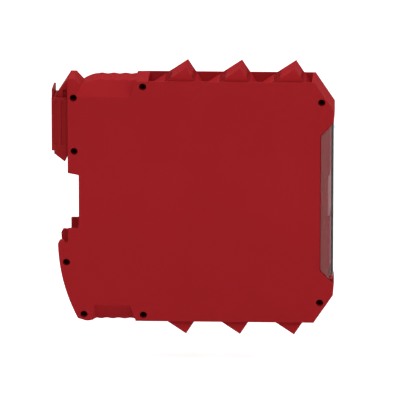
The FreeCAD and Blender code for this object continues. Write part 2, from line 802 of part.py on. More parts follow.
header_pattern = header_block()
pin_sets = []
for up, row in ((1, "top"), (-1, "bottom")):
    pins_pattern = bent_pins(up)
    for number in range(3):
        middle = first_peak + plug_pitch * number - nose_centre
        sub_parts.append(placed(header_pattern, f"header_{row}_{number + 1}", up, middle, 0))
        pin_sets.append(placed(pins_pattern, f"pins_{row}_{number + 1}", 1, middle, 0))
sub_parts.append(label_piece(group("header_pins_group", pin_sets), "header_pins"))


# ---------------------------------------------------------------- terminal plugs

# Each plug has its own frame at its corner, +X towards the front and +Z out of the housing.
# "along" is the direction of the wire entry face towards the corner, "out" is square to that face.

def tilted_sketch(body, name, square_to, along=0):
    """
    Sketch square to the screws ("screw") or to the wires ("wire"), shifted along the wire entry
    face. Its first axis runs down the screw face or towards the plug's corner.
    """
    sketch = blank_sketch(body, name, "z")
    sketch.AttachmentOffset = FreeCAD.Placement(FreeCAD.Vector(),
                                                FreeCAD.Rotation(FreeCAD.Vector(0, 1, 0), 45))
    bind(sketch, "AttachmentOffset.Rotation.Angle",
         90 - plug_angle if square_to == "screw" else 360 - plug_angle)
    bind(sketch, "AttachmentOffset.Base.x", along * cosine(plug_angle))
    bind(sketch, "AttachmentOffset.Base.z", along * sine(plug_angle))
    return sketch


def four(sketch, across, half):
    """The same rectangle at each of the four poles."""
    for place in pole_places:
        draw_outline(sketch, rectangle(across, (place - half, place + half)))


def plug_body():
    """Moulded plug: saw-tooth block with its nose, wire entries, screw holes and clamp chambers."""
    body = new_body("plug_pattern_body")
    rise = plug_back * tangent(plug_angle)
    fall = plug_front / tangent(plug_angle)
    layer(body, "block", "y", (-plug_half, plug_half), [[
        (0, 0), (plug_front, -fall), (plug_front, -plug_skirt), (-plug_back, -plug_skirt),
        (-plug_back, -rise),
    ]])
    nose_width = plug_half - nose_margin
    layer(body, "nose", "y", (-nose_width, nose_width), [
        rectangle((-nose_centre - nose_half, nose_half - nose_centre),
                  (-plug_skirt - nose_length, 0.1 - plug_skirt)),
    ])
    entries = tilted_sketch(body, "wire_entries", "wire")
    four(entries, (-entry_place - entry_size / 2, entry_size / 2 - entry_place), entry_size / 2)
    extrude(body, entries, clamp_depth - chamber_side / 2 + 0.1, cut=True, backwards=False)
    holes = tilted_sketch(body, "screw_holes", "screw")
    for place in pole_places:
        draw_circle(holes, clamp_depth, place, screw_hole)
    extrude(body, holes, chamber_top + 0.1, cut=True, backwards=False)
    chambers = tilted_sketch(body, "chambers", "screw", -chamber_top)
    four(chambers, (clamp_depth - chamber_side / 2, clamp_depth + chamber_side / 2), chamber_width / 2)
    extrude(body, chambers, chamber_length, cut=True, backwards=False)
    slot_half = pin_size / 2 + contact_thick + 0.3
    layer(body, "contact_slots", "z", (-plug_skirt - nose_length - 0.1, -plug_skirt + 4.0), [
        rectangle((-nose_centre - slot_half, slot_half - nose_centre),
                  (place - slot_half, place + slot_half)) for place in pole_places
    ], cut=True)
    return body


def plug_screws():
    """Four slotted clamp screws: head, thread and slot."""
    body = new_body("plug_pattern_screws")
    head_back = -head_sink - head_length
    shanks = tilted_sketch(body, "shanks", "screw", head_back - shank_length)
    heads = tilted_sketch(body, "heads", "screw", head_back)
    slots = tilted_sketch(body, "slots", "screw", -head_sink)
    for place in pole_places:
        draw_outline(shanks, prism(clamp_depth, place, shank_radius))
        draw_outline(heads, prism(clamp_depth, place, head_radius, 16))
    four(slots, (clamp_depth - head_radius * 1.2, clamp_depth + head_radius * 1.2), slot_width / 2)
    extrude(body, shanks, shank_length + 0.1, cut=False, backwards=False)
    extrude(body, heads, head_length, cut=False, backwards=False)
    extrude(body, slots, slot_deep, cut=True, backwards=False)
    return body


def plug_cages():
    """Four clamp cages, open for the wire and threaded for the screw."""
    body = new_body("plug_pattern_cages")
    length = chamber_length - cage_gap * 2
    half_side = chamber_side / 2 - cage_gap
    half_width_of_cage = chamber_width / 2 - cage_gap
    blocks = tilted_sketch(body, "blocks", "screw", -chamber_top - cage_gap)
    four(blocks, (clamp_depth - half_side, clamp_depth + half_side), half_width_of_cage)
    extrude(body, blocks, length, cut=False, backwards=True)
    threads = tilted_sketch(body, "threads", "screw", -chamber_top)
    for place in pole_places:
        draw_outline(threads, prism(clamp_depth, place, shank_radius + 0.05))
    extrude(body, threads, cage_gap + cage_wall * 2.6, cut=True, backwards=False)
    windows = tilted_sketch(body, "windows", "wire")
    bottom = -chamber_top - cage_gap - length + cage_wall
    four(windows, (bottom, bottom + length - cage_wall * 3), half_width_of_cage - cage_wall)
    extrude(body, windows, chamber_side + clamp_depth, cut=True, backwards=False)
    return body


def plug_contacts():
    """Four contact springs standing beside the pins."""
    body = new_body("plug_pattern_contacts")
    back = -nose_centre - pin_size / 2 - contact_thick - 0.15
    layer(body, "leaves", "z", (-plug_skirt - nose_length + 0.8, as_size(-13.72)), [
        rectangle((back, back + contact_thick), (place - pin_size, place + pin_size))
        for place in pole_places
    ])
    return body


plug_patterns = {"body": plug_body(), "screws": plug_screws(), "cages": plug_cages(),
                 "contacts": plug_contacts()}
for up, row in ((1, "top"), (-1, "bottom")):
    for number in range(3):
        for kind, pattern in plug_patterns.items():
            sub_parts.append(placed(pattern, f"plug_{row}_{number + 1}_{kind}", up,
                                    first_peak + plug_pitch * number, peak_height * up))


# ---------------------------------------------------------------- indicator panel and clear flap

panel_half_width = inner_width - fit_gap
panel_half = window_front_half - fit_gap


def front_panel():
    """Tray that closes the housing's front, with the lamp windows and the flap's pivot stubs."""
    body = new_body("front_panel")
    layer(body, "tray", "x", (panel_face - panel_deep, panel_face), [
        rectangle((-panel_half_width, panel_half_width), (-panel_half, panel_half))])
    lip_z = window_front_half + panel_lip - 0.3
    flange = (-panel_half_width, panel_half_width)
    layer(body, "flanges", "x", (panel_face - 0.6, front - outer_wall), [
        rectangle(flange, (panel_half - 1.2, lip_z)), rectangle(flange, (-lip_z, 1.2 - panel_half))])
    layer(body, "back_hollow", "x", (panel_face - panel_deep - 0.1, panel_face - panel_thick), [
        rectangle((panel_thick - panel_half_width, panel_half_width - panel_thick),
                  (panel_thick - panel_half, panel_half - panel_thick))], cut=True)
    layer(body, "lamp_windows", "x", (panel_face - panel_thick - 0.1, panel_face + 0.1), circles=[
        (lamp_pitch * step, lamp_height, lamp_radius + 0.1) for step in (-1, 0, 1)], cut=True)
    ear_low = -hinge_height - barrel_radius
    for name, low, high in (("near_ear", -panel_half_width, 1.3 - panel_half_width),
                            ("far_ear", panel_half_width - 1.3, panel_half_width)):
        layer(body, name, "y", (low, high), [
            rectangle((panel_face - 0.1, hinge_x), (ear_low, ear_low + barrel_radius * 2))])
        layer(body, f"{name}_nose", "y", (low, high), circles=[(hinge_x, -hinge_height, barrel_radius)])
    for name, low, high in (("near_stub", -panel_half_width - 0.9, 0.1 - panel_half_width),
                            ("far_stub", panel_half_width - 0.1, panel_half_width + 0.9)):
        layer(body, name, "y", (low, high), circles=[(hinge_x, -hinge_height, pivot_radius)])
    return body


def front_cover():
    """Clear flap: a front plate with a cheek each side, turning on two eyes at its lower end."""
    body = new_body("front_cover")
    slope = window_flare / (front - window_back)
    edge_gap = fit_gap * 1.45
    top = window_front_half - edge_gap
    layer(body, "plate", "x", (front - flap_thick, front), [
        rectangle((-inner_width, inner_width), (-hinge_height, top))])
    rest = math.sqrt(0.5)
    eye_x = hinge_x - barrel_radius * rest
    eye_z = -hinge_height - barrel_radius * rest
    cheek_back = window_back + fit_gap
    cheek = [
        (cheek_back, window_half - edge_gap + fit_gap * slope), (front, top), (front, -hinge_height),
        (hinge_x, -hinge_height - barrel_radius * 0.5), (eye_x, eye_z),
        (cheek_back, eye_z + (eye_x - cheek_back) * slope),
    ]
    for name, low, high in (("near", -half_width, 0.05 - inner_width),
                            ("far", inner_width - 0.05, half_width)):
        layer(body, f"{name}_cheek", "y", (low, high), [cheek])
        layer(body, f"{name}_eye", "y", (low, high), circles=[(hinge_x, -hinge_height, barrel_radius)])
    ear_room = panel_half_width - 1.3 - fit_gap
    layer(body, "barrel", "y", (-ear_room, ear_room), circles=[(hinge_x, -hinge_height, barrel_radius)])
    for name, low, high in (("near_notch", 0.05 - inner_width, -ear_room),
                            ("far_notch", ear_room, inner_width - 0.05)):
        layer(body, name, "y", (low, high), [
            rectangle((front - flap_thick - 1.0, front + 0.1),
                      (-hinge_height - 1.5, barrel_radius * 2 - hinge_height))], cut=True)
    layer(body, "pivot_holes", "y", (-half_width - 0.1, half_width + 0.1),
          circles=[(hinge_x, -hinge_height, pivot_radius + pivot_fit)], cut=True)
    # Finger hollow across the top of the plate
    layer(body, "finger_hollow", "y", (as_size(-5.0), as_size(5.0)),
          circles=[(front + 1.6, top - 4.0, 2.0)], cut=True)
    return body


def light_pipe():
    """Clear moulding: three rods in the lamp windows, joined by a bar behind the panel."""
    rods = [rod(f"light_rod_{step + 2}", "x", (lamp_pitch * step, lamp_height), lamp_radius,
                (panel_face - 3.4, panel_face)) for step in (-1, 0, 1)]
    bar = block("light_bar", (panel_face - panel_thick - 1.0, panel_face - panel_thick),
                (-lamp_pitch - lamp_radius, lamp_pitch + lamp_radius),
                (lamp_height - lamp_radius, lamp_height + lamp_radius))
    return label_piece(fuse("light_pipe_fusion", rods + [bar]), "light_pipe")


marking_strip = label_piece(
    block("marking_strip_sheet", (panel_face, panel_face + strip_thick),
          (1.3 - panel_half_width, panel_half_width - 1.3), (strip_low, strip_high)), "marking_strip")
sub_parts += [front_panel(), front_cover(), light_pipe(), marking_strip]


# ---------------------------------------------------------------- boards and components

def main_board():
    """Board parallel to the side walls, pierced for the twenty-four pin legs."""
    body = new_body("main_board")
    layer(body, "sheet", "y", (main_board_face, main_board_back), [
        rectangle((board_back, board_front), (-board_half, board_half))])
    holes = []
    for number in range(3):
        middle = first_peak + plug_pitch * number - nose_centre
        for step in range(4):
            leg = leg_low + leg_pitch * step
            for height in (leg, -leg):
                holes.append(rectangle((middle - pin_size / 2, middle + pin_size / 2),
                                       (height - pin_size / 2, height + pin_size / 2)))
    layer(body, "leg_holes", "y", (main_board_face - 0.1, main_board_back + 0.1), holes, cut=True)
    return body


def switching_relay(label, low):
    """Sealed relay with guided contacts: a moulded cap with chamfered top edges on its base."""
    body = new_body(label)
    x = (relay_back, relay_back + relay_length)
    z = (low, low + relay_height)
    top = main_board_face - relay_tall
    layer(body, "base", "y", (main_board_face - 2.0, main_board_face), [rectangle(x, z)])
    cap_x = (x[0] + 0.3, x[1] - 0.3)
    cap = layer(body, "cap", "y", (top, main_board_face - 1.9),
                [rectangle(cap_x, (z[0] + 0.3, z[1] - 0.3))])
    doc.recompute()
    corners = [f"Edge{number + 1}" for number, edge in enumerate(body.Shape.Edges)
               if edge.BoundBox.YMax < top.value + 0.01]
    chamfer = body.newObject("PartDesign::Chamfer", f"{label}_chamfer")
    chamfer.Base = (cap, corners)
    chamfer.Size = 0.8
    body.Tip = chamfer
    return body


front_board_x = (board_front + 0.4, board_front + 0.4 + board_thick)
core_back = board_front - 5.4 - core_width
core_x = (core_back, core_back + core_width)
window_limb = core_limb + 0.6

sub_parts += [
    main_board(),
    switching_relay("safety_relay_1", relay_gap / 2),
    switching_relay("safety_relay_2", -relay_gap / 2 - relay_height),
    label_piece(block("front_board_sheet", front_board_x, (3.0 - inner_width, inner_width - 2.0),
                      (-front_board_half, front_board_half)), "front_board"),
    label_piece(block("board_connector_block", (board_front - 4.2, front_board_x[0]),
                      (main_board_face - 2.7, main_board_face), (-connector_half, connector_half)),
                "board_connector"),
    label_piece(group("indicator_lamps_group", [
        block(f"indicator_lamp_{step + 2}", (front_board_x[1], front_board_x[1] + 1.2),
              (lamp_pitch * step - 0.8, lamp_pitch * step + 0.8),
              (lamp_height - 0.8, lamp_height + 0.8)) for step in (-1, 0, 1)]), "indicator_lamps"),
    label_piece(cut("transformer_core_cut",
                    block("core_outer", core_x, (main_board_face - core_tall, main_board_face),
                          (-core_height / 2, core_height / 2)),
                    block("core_window", (core_x[0] - 0.1, core_x[1] + 0.1),
                          (window_limb + main_board_face - core_tall, main_board_face - window_limb),
                          (core_limb - core_height / 2, core_height / 2 - core_limb))),
                "transformer_core"),
    label_piece(block("transformer_coil_block", (core_x[0] - 1.5, core_x[1] + 1.5),
                      (window_limb + main_board_face - core_tall, main_board_face - window_limb),
                      (core_limb - core_height / 2, core_height / 2 - core_limb)), "transformer_coil"),
    label_piece(group("supply_capacitors_group", [
        rod(f"supply_capacitor_{number + 1}", "y", (relay_back - can_radius - 2.0, height), can_radius,
            (main_board_face - can_tall, main_board_face))
        for number, height in enumerate((-can_radius - 2.0, can_radius + 2.0))]),
                "supply_capacitors"),
    label_piece(rod("surge_absorber_disc", "z", (board_back + 5.5, main_board_face - 4.2), 4.2,
                    (as_size(-1.5), as_size(1.5))), "surge_absorber"),
    label_piece(group("monitoring_chips_group", [
        block(f"monitoring_chip_{number + 1}", (first_peak + 1.3, first_peak + 10.3),
              (main_board_face - 1.6, main_board_face), (low, low + 5.0))
        for number, low in enumerate((3.9 - board_half, board_half - 8.9))]), "monitoring_chips"),
]

# ---------------------------------------------------------------- build, check and export

doc.recompute()
failed = [o.Label for o in doc.Objects if any(word in o.State for word in ("Invalid", "Error"))]
if failed:
    raise RuntimeError(f"features failed: {failed}")
for part in sub_parts:
    if part.Shape.isNull() or not part.Shape.isValid():
        raise RuntimeError(f"bad shape: {part.Label}")
for part in sub_parts:
    part.Shape.exportStep(f"parts/{part.Label}.step")
print(f"{len(sub_parts)} sub-parts written")
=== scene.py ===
import json
import math

import bmesh
import bpy
import numpy as np
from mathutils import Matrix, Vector


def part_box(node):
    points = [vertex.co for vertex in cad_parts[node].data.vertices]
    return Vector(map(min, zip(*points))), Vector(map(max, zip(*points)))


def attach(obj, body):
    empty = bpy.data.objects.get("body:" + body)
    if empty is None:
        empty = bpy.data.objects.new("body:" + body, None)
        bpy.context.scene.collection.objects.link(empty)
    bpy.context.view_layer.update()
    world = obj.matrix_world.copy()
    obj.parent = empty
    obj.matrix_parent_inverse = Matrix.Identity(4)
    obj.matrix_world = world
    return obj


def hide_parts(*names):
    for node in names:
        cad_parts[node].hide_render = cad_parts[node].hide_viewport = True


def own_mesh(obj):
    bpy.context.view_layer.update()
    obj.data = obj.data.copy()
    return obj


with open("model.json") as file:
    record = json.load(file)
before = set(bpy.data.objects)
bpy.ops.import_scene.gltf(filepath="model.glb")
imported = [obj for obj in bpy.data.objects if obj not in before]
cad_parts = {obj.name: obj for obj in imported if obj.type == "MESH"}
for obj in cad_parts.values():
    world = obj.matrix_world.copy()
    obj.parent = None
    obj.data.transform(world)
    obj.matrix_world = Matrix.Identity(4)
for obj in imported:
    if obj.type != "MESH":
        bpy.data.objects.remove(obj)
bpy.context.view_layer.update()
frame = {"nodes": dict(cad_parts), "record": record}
nodes = frame["nodes"]

# ------------------------------------------------------------------ camera
# A long lens looks at the relay's near side wall, a little from above and from the front, so that
# the side keeps its true outline and the upper faces of the grips and plugs still show.

MM = 0.001
AIM = Vector((53.42, -11.25, 1.0)) * MM
AZIMUTH, ELEVATION = math.radians(2.5), math.radians(12.5)
DISTANCE = 2.25

camera_data = bpy.data.cameras.new("camera")
camera = bpy.data.objects.new("camera", camera_data)
bpy.context.scene.collection.objects.link(camera)
camera.location = AIM + DISTANCE * Vector((
    math.sin(AZIMUTH) * math.cos(ELEVATION),
    -math.cos(AZIMUTH) * math.cos(ELEVATION),
    math.sin(ELEVATION)))
camera.rotation_euler = (AIM - camera.location).to_track_quat("-Z", "Y").to_euler()
camera_data.sensor_width = 36.0
camera_data.lens = 502.3
camera_data.clip_start = 0.1
camera_data.clip_end = 60.0
bpy.context.scene.camera = camera
bpy.context.scene.view_settings.view_transform = "Standard"

# ------------------------------------------------------------------ floor
# Pale matt studio floor. The relay hangs as it does on its rail, so the floor lies just below the
# reach of the bottom plugs when they are drawn off downwards. It fades to white further out.

FLOOR_Z = -67.0 * MM
FLOOR_HALF = 12.0
FADE_START, FADE_END = 0.3, 2.0  # Metres from the origin
NEAR_GLOW, FAR_GLOW = 0.68, 1.0


def seen_rays(tree):
    """
    One for rays that show the background, to the camera or in gloss and clear plastic, else none:
    the largest of the three kinds of ray.
    """
    path = tree.nodes.new("ShaderNodeLightPath")
    seen = path.outputs["Is Camera Ray"]
    for other in ("Is Glossy Ray", "Is Transmission Ray"):
        either = tree.nodes.new("ShaderNodeMath")
        either.operation = "MAXIMUM"
        tree.links.new(seen, either.inputs[0])
        tree.links.new(path.outputs[other], either.inputs[1])
        seen = either.outputs[0]
    return seen


floor_mesh = bpy.data.meshes.new("studio_floor")
floor_mesh.from_pydata([
    (-FLOOR_HALF, -FLOOR_HALF, FLOOR_Z), (FLOOR_HALF, -FLOOR_HALF, FLOOR_Z),
    (FLOOR_HALF, FLOOR_HALF, FLOOR_Z), (-FLOOR_HALF, FLOOR_HALF, FLOOR_Z)], [], [(0, 1, 2, 3)])
studio_floor = bpy.data.objects.new("studio_floor", floor_mesh)
bpy.context.scene.collection.objects.link(studio_floor)
floor_paint = bpy.data.materials.new("studio_floor_paint")
floor_paint.use_nodes = True
floor_tree = floor_paint.node_tree
floor_shader = floor_tree.nodes["Principled BSDF"]
floor_shader.inputs["Base Color"].default_value = (0.86, 0.86, 0.86, 1)
floor_shader.inputs["Roughness"].default_value = 0.9
floor_shader.inputs["Specular IOR Level"].default_value = 0.1
floor_shader.inputs["Emission Color"].default_value = (1, 1, 1, 1)
floor_place = floor_tree.nodes.new("ShaderNodeTexCoord")
floor_distance = floor_tree.nodes.new("ShaderNodeVectorMath")
floor_distance.operation = "LENGTH"
floor_fade = floor_tree.nodes.new("ShaderNodeMapRange")
floor_fade.inputs["From Min"].default_value = FADE_START
floor_fade.inputs["From Max"].default_value = FADE_END
floor_fade.inputs["To Min"].default_value = NEAR_GLOW
floor_fade.inputs["To Max"].default_value = FAR_GLOW
floor_glow = floor_tree.nodes.new("ShaderNodeMath")
floor_glow.operation = "MULTIPLY"
floor_tree.links.new(floor_place.outputs["Object"], floor_distance.inputs[0])
floor_tree.links.new(floor_distance.outputs["Value"], floor_fade.inputs["Value"])
floor_tree.links.new(seen_rays(floor_tree), floor_glow.inputs[0])
floor_tree.links.new(floor_fade.outputs["Result"], floor_glow.inputs[1])
floor_tree.links.new(floor_glow.outputs[0], floor_shader.inputs["Emission Strength"])
studio_floor.data.materials.append(floor_paint)

# ------------------------------------------------------------------ sky and lamps
# A dim even sky that shows as white behind the relay, and four soft lamps: one overhead, a key
# lamp and a front lamp on the near side, and one that lifts the far side.

SKY_WHITE = (1.0, 1.0, 1.0, 1)
SKY_LIGHT, SKY_SHOWN = 0.11, 1.0
LAMP_AIM = Vector((0.05, 0, 0))
LAMPS = [  # name, place, size, power
    ("overhead_lamp", (0.05, -0.10, 1.35), 1.6, 10.6),
    ("key_lamp", (0.00, -1.15, 1.25), 1.2, 10.6),
    ("front_lamp", (1.50, -0.60, 0.60), 1.0, 7.0),
    ("far_lamp", (-0.35, 1.05, 1.35), 1.0, 6.5),
]

sky = bpy.data.worlds.new("studio_sky")
bpy.context.scene.world = sky
sky.use_nodes = True
sky_tree = sky.node_tree
sky_light = sky_tree.nodes["Background"]
sky_light.inputs["Color"].default_value = SKY_WHITE
sky_light.inputs["Strength"].default_value = SKY_LIGHT
sky_shown = sky_tree.nodes.new("ShaderNodeBackground")
sky_shown.inputs["Color"].default_value = SKY_WHITE
sky_shown.inputs["Strength"].default_value = SKY_SHOWN
sky_mix = sky_tree.nodes.new("ShaderNodeMixShader")
sky_tree.links.new(seen_rays(sky_tree), sky_mix.inputs[0])
sky_tree.links.new(sky_light.outputs[0], sky_mix.inputs[1])
sky_tree.links.new(sky_shown.outputs[0], sky_mix.inputs[2])
sky_tree.links.new(sky_mix.outputs[0], sky_tree.nodes["World Output"].inputs["Surface"])

for lamp_name, place, size, power in LAMPS:
    lamp_data = bpy.data.lights.new(lamp_name, "AREA")
    lamp_data.size = size
    lamp_data.energy = power
    lamp = bpy.data.objects.new(lamp_name, lamp_data)
    bpy.context.scene.collection.objects.link(lamp)
    lamp.location = place
    lamp.rotation_euler = (LAMP_AIM - lamp.location).to_track_quat("-Z", "Y").to_euler()

# ------------------------------------------------------------------ circuit boards
# Two boards of glass-fibre laminate with etched copper tracks under green solder mask. The main
# board is clamped between posts of the near half and pads of the far one; the front one plugs in.

TRACK_CELL = 3.2  # Millimetres from track to track
TRACK_IN, TRACK_OUT = 0.03, 0.06  # Share of a cell where a track is full, and where it ends
MASK_COLOUR, TRACK_COLOUR = (0.012, 0.085, 0.030), (0.045, 0.20, 0.075)


def new_material(name):
    """Material with its node tree, its shader, and object coordinates to hang textures on."""
    material = bpy.data.materials.new(name)
    material.use_nodes = True
    tree = material.node_tree
    place = tree.nodes.new("ShaderNodeTexCoord").outputs["Object"]
    return material, tree, tree.nodes["Principled BSDF"], place


def two_colours(tree, factor, first, second):
    """Colour that goes straight from the first to the second as the factor goes from 0 to 1."""
    mix = tree.nodes.new("ShaderNodeMix")
    mix.data_type = "RGBA"
    for socket, colour in ((mix.inputs[6], first), (mix.inputs[7], second)):
        if isinstance(colour, tuple):
            socket.default_value = (*colour, 1)
        else:
            tree.links.new(colour, socket)
    tree.links.new(factor, mix.inputs[0])
    return mix.outputs[2]


def rounded_normal(tree, radius):
    """Normal of the surface as if its edges were rounded by a radius in millimetres."""
    edge = tree.nodes.new("ShaderNodeBevel")
    edge.samples = 6
    edge.inputs["Radius"].default_value = radius * MM
    return edge.outputs[0]


def relief(tree, height, strength, depth, rounding=0.0):
    """Bump of a depth in millimetres, over edges rounded by a radius in millimetres."""
    bump = tree.nodes.new("ShaderNodeBump")
    bump.inputs["Strength"].default_value = strength
    bump.inputs["Distance"].default_value = depth * MM
    tree.links.new(height, bump.inputs["Height"])
    if rounding:
        tree.links.new(rounded_normal(tree, rounding), bump.inputs["Normal"])
    return bump.outputs[0]


def dress(material, *names):
    """Give CAD nodes a material."""
    for name in names:
        nodes[name].data.materials.clear()
        nodes[name].data.materials.append(material)


board_green, board_tree, board_shader, board_place = new_material("board_green")
tracks = board_tree.nodes.new("ShaderNodeTexVoronoi")
tracks.feature = "DISTANCE_TO_EDGE"
tracks.inputs["Scale"].default_value = 1 / (TRACK_CELL * MM)
board_tree.links.new(board_place, tracks.inputs["Vector"])
copper = board_tree.nodes.new("ShaderNodeMapRange")
copper.inputs["From Min"].default_value = TRACK_OUT
copper.inputs["From Max"].default_value = TRACK_IN
board_tree.links.new(tracks.outputs["Distance"], copper.inputs["Value"])
board_tree.links.new(two_colours(board_tree, copper.outputs[0], MASK_COLOUR, TRACK_COLOUR),
                     board_shader.inputs["Base Color"])
board_tree.links.new(relief(board_tree, copper.outputs[0], strength=0.5, depth=0.03),
                     board_shader.inputs["Normal"])
board_shader.inputs["Roughness"].default_value = 0.32
dress(board_green, "main_board", "front_board")

# ------------------------------------------------------------------ moulded parts on the boards
# Cream relay cases and black chips, a blue dipped surge absorber and three lamps cast in epoxy.
# All are soldered to the boards by their legs.

DRIFT_SIZE, GLOSS_SIZE, RUB_AND_HIGHLIGHT_SIZE = 28, 6, 2.2  # Millimetres
GRAIN_DEPTH = 0.02  # Millimetres
GLOSS_DRIFT = 0.05
RUB_AND_HIGHLIGHT_LEAST = 0.25  # Share of the rub and painted edge highlight that every edge has
# Paler edge shade, partly rub wear and partly painted highlight: the colour times the first, plus the second
RUB_AND_HIGHLIGHT_TIMES, RUB_AND_HIGHLIGHT_MORE = 1.25, 0.05


def noise(tree, place, size, detail=2):
    """Noise of a feature size in millimetres."""
    texture = tree.nodes.new("ShaderNodeTexNoise")
    texture.inputs["Scale"].default_value = 1 / (size * MM)
    texture.inputs["Detail"].default_value = detail
    tree.links.new(place, texture.inputs["Vector"])
    return texture.outputs[0]


def spread(tree, value, low, high):
    """The value's middle range, from 0.3 to 0.7, stretched evenly to low to high."""
    stretch = tree.nodes.new("ShaderNodeMapRange")
    stretch.inputs["From Min"].default_value = 0.3
    stretch.inputs["From Max"].default_value = 0.7
    stretch.inputs["To Min"].default_value = low
    stretch.inputs["To Max"].default_value = high
    tree.links.new(value, stretch.inputs["Value"])
    return stretch.outputs[0]


def edge_mask(tree, radius):
    """
    One on edges within a radius in millimetres, none on flats: it grows as the product of the
    rounded normal and the flat one falls from 0.99 to 0.80.
    """
    rounded = rounded_normal(tree, radius)
    flat = tree.nodes.new("ShaderNodeNewGeometry")
    along = tree.nodes.new("ShaderNodeVectorMath")
    along.operation = "DOT_PRODUCT"
    tree.links.new(rounded, along.inputs[0])
    tree.links.new(flat.outputs["Normal"], along.inputs[1])
    mask = tree.nodes.new("ShaderNodeMapRange")
    mask.inputs["From Min"].default_value = 0.99
    mask.inputs["From Max"].default_value = 0.80
    tree.links.new(along.outputs["Value"], mask.inputs["Value"])
    return mask.outputs[0]


def moulded_plastic(name, colour, roughness, grain=0.35, grain_size=0.22, drift=0.02, rub_and_highlight=0.14,
                    rounding=0.18, specular=0.003):
    """
    Matt thermoplastic, with sizes in millimetres. The colour drifts by a share either way over
    slow noise and the gloss over finer noise. The mould's grain is bump over rounded edges. A paler
    shade is mixed in by the edge mask times a noise-varied amount: partly rub wear, partly a painted
    highlight on every edge.
    """
    material, tree, shader, place = new_material(name)
    shades = two_colours(tree, spread(tree, noise(tree, place, DRIFT_SIZE, detail=3), 0, 1),
                         tuple(c * (1 - drift) for c in colour), tuple(c * (1 + drift) for c in colour))
    # Paler edges: partly rub wear, partly a painted highlight laid on every edge
    rubbed_and_highlit = tree.nodes.new("ShaderNodeMath")
    rubbed_and_highlit.operation = "MULTIPLY"
    tree.links.new(edge_mask(tree, rounding), rubbed_and_highlit.inputs[0])
    tree.links.new(spread(tree, noise(tree, place, RUB_AND_HIGHLIGHT_SIZE, detail=4), RUB_AND_HIGHLIGHT_LEAST * rub_and_highlight, rub_and_highlight),
                   rubbed_and_highlit.inputs[1])
    pale_rub_and_highlight = tuple(min(1.0, c * RUB_AND_HIGHLIGHT_TIMES + RUB_AND_HIGHLIGHT_MORE) for c in colour)
    tree.links.new(two_colours(tree, rubbed_and_highlit.outputs[0], shades, pale_rub_and_highlight), shader.inputs["Base Color"])
    tree.links.new(spread(tree, noise(tree, place, GLOSS_SIZE, detail=4),
                          roughness - GLOSS_DRIFT, roughness + GLOSS_DRIFT), shader.inputs["Roughness"])
    tree.links.new(relief(tree, noise(tree, place, grain_size), grain, GRAIN_DEPTH, rounding),
                   shader.inputs["Normal"])
    shader.inputs["Specular IOR Level"].default_value = specular
    return material


dress(moulded_plastic("relay_cream", (0.72, 0.70, 0.60), roughness=0.42, grain_size=0.25, specular=0.35),
      "safety_relay_1", "safety_relay_2")
dress(moulded_plastic("chip_epoxy", (0.020, 0.020, 0.022), roughness=0.6, grain_size=0.08),
      "monitoring_chips")
dress(moulded_plastic("absorber_blue", (0.02, 0.09, 0.30), roughness=0.35, grain=0.6, grain_size=0.9,
                      specular=0.4), "surge_absorber")
dress(moulded_plastic("lamp_epoxy", (0.78, 0.72, 0.42), roughness=0.3, grain_size=0.1, specular=0.4),
      "indicator_lamps")

# ------------------------------------------------------------------ transformer and capacitors
# The transformer's core is a stack of steel laminations, with the coil wound on it under yellow
# tape. The can capacitors wear shrunk sleeves. All are soldered to the main board.

BAND_SCALE = 0.314  # Wave scale at which a band is one unit long, a tenth of pi


def banded(name, first, second, pitch, axis, metallic, roughness):
    """
    Layers or windings of a pitch in millimetres, stacked along an axis. A wave along the axis mixes
    the two colours and raises the bump, and noise spreads the gloss.
    """
    material, tree, shader, place = new_material(name)
    bands = tree.nodes.new("ShaderNodeTexWave")
    bands.bands_direction = axis
    bands.inputs["Scale"].default_value = BAND_SCALE / (pitch * MM)
    bands.inputs["Distortion"].default_value = 0.4
    tree.links.new(place, bands.inputs["Vector"])
    tree.links.new(two_colours(tree, bands.outputs["Fac"], first, second), shader.inputs["Base Color"])
    tree.links.new(relief(tree, bands.outputs["Fac"], strength=0.5, depth=0.05), shader.inputs["Normal"])
    tree.links.new(spread(tree, noise(tree, place, size=1.5, detail=3), roughness - 0.08, roughness + 0.08),
                   shader.inputs["Roughness"])
    shader.inputs["Metallic"].default_value = metallic
    return material


dress(banded("core_laminations", (0.30, 0.29, 0.28), (0.12, 0.115, 0.11), pitch=0.35, axis="Z",
             metallic=1.0, roughness=0.45), "transformer_core")
dress(banded("coil_tape", (0.62, 0.42, 0.06), (0.48, 0.31, 0.04), pitch=1.8, axis="X",
             metallic=0.0, roughness=0.35), "transformer_coil")
dress(banded("capacitor_sleeve", (0.03, 0.035, 0.05), (0.022, 0.024, 0.04), pitch=6.0, axis="Y",
             metallic=0.0, roughness=0.3), "supply_capacitors")

# ------------------------------------------------------------------ headers and pins
# Black glass-filled polyester shrouds for the plugs, and the connector between the boards. Bent
# tinned pins pass the shrouds' floors and are soldered into the main board.

TARNISH_SIZE, TARNISH_DARK, TARNISH_MOST = 1.6, 0.72, 0.8  # Millimetres, then shares
SKIN_SHARE = 0.3  # The skin's grain to the gloss's


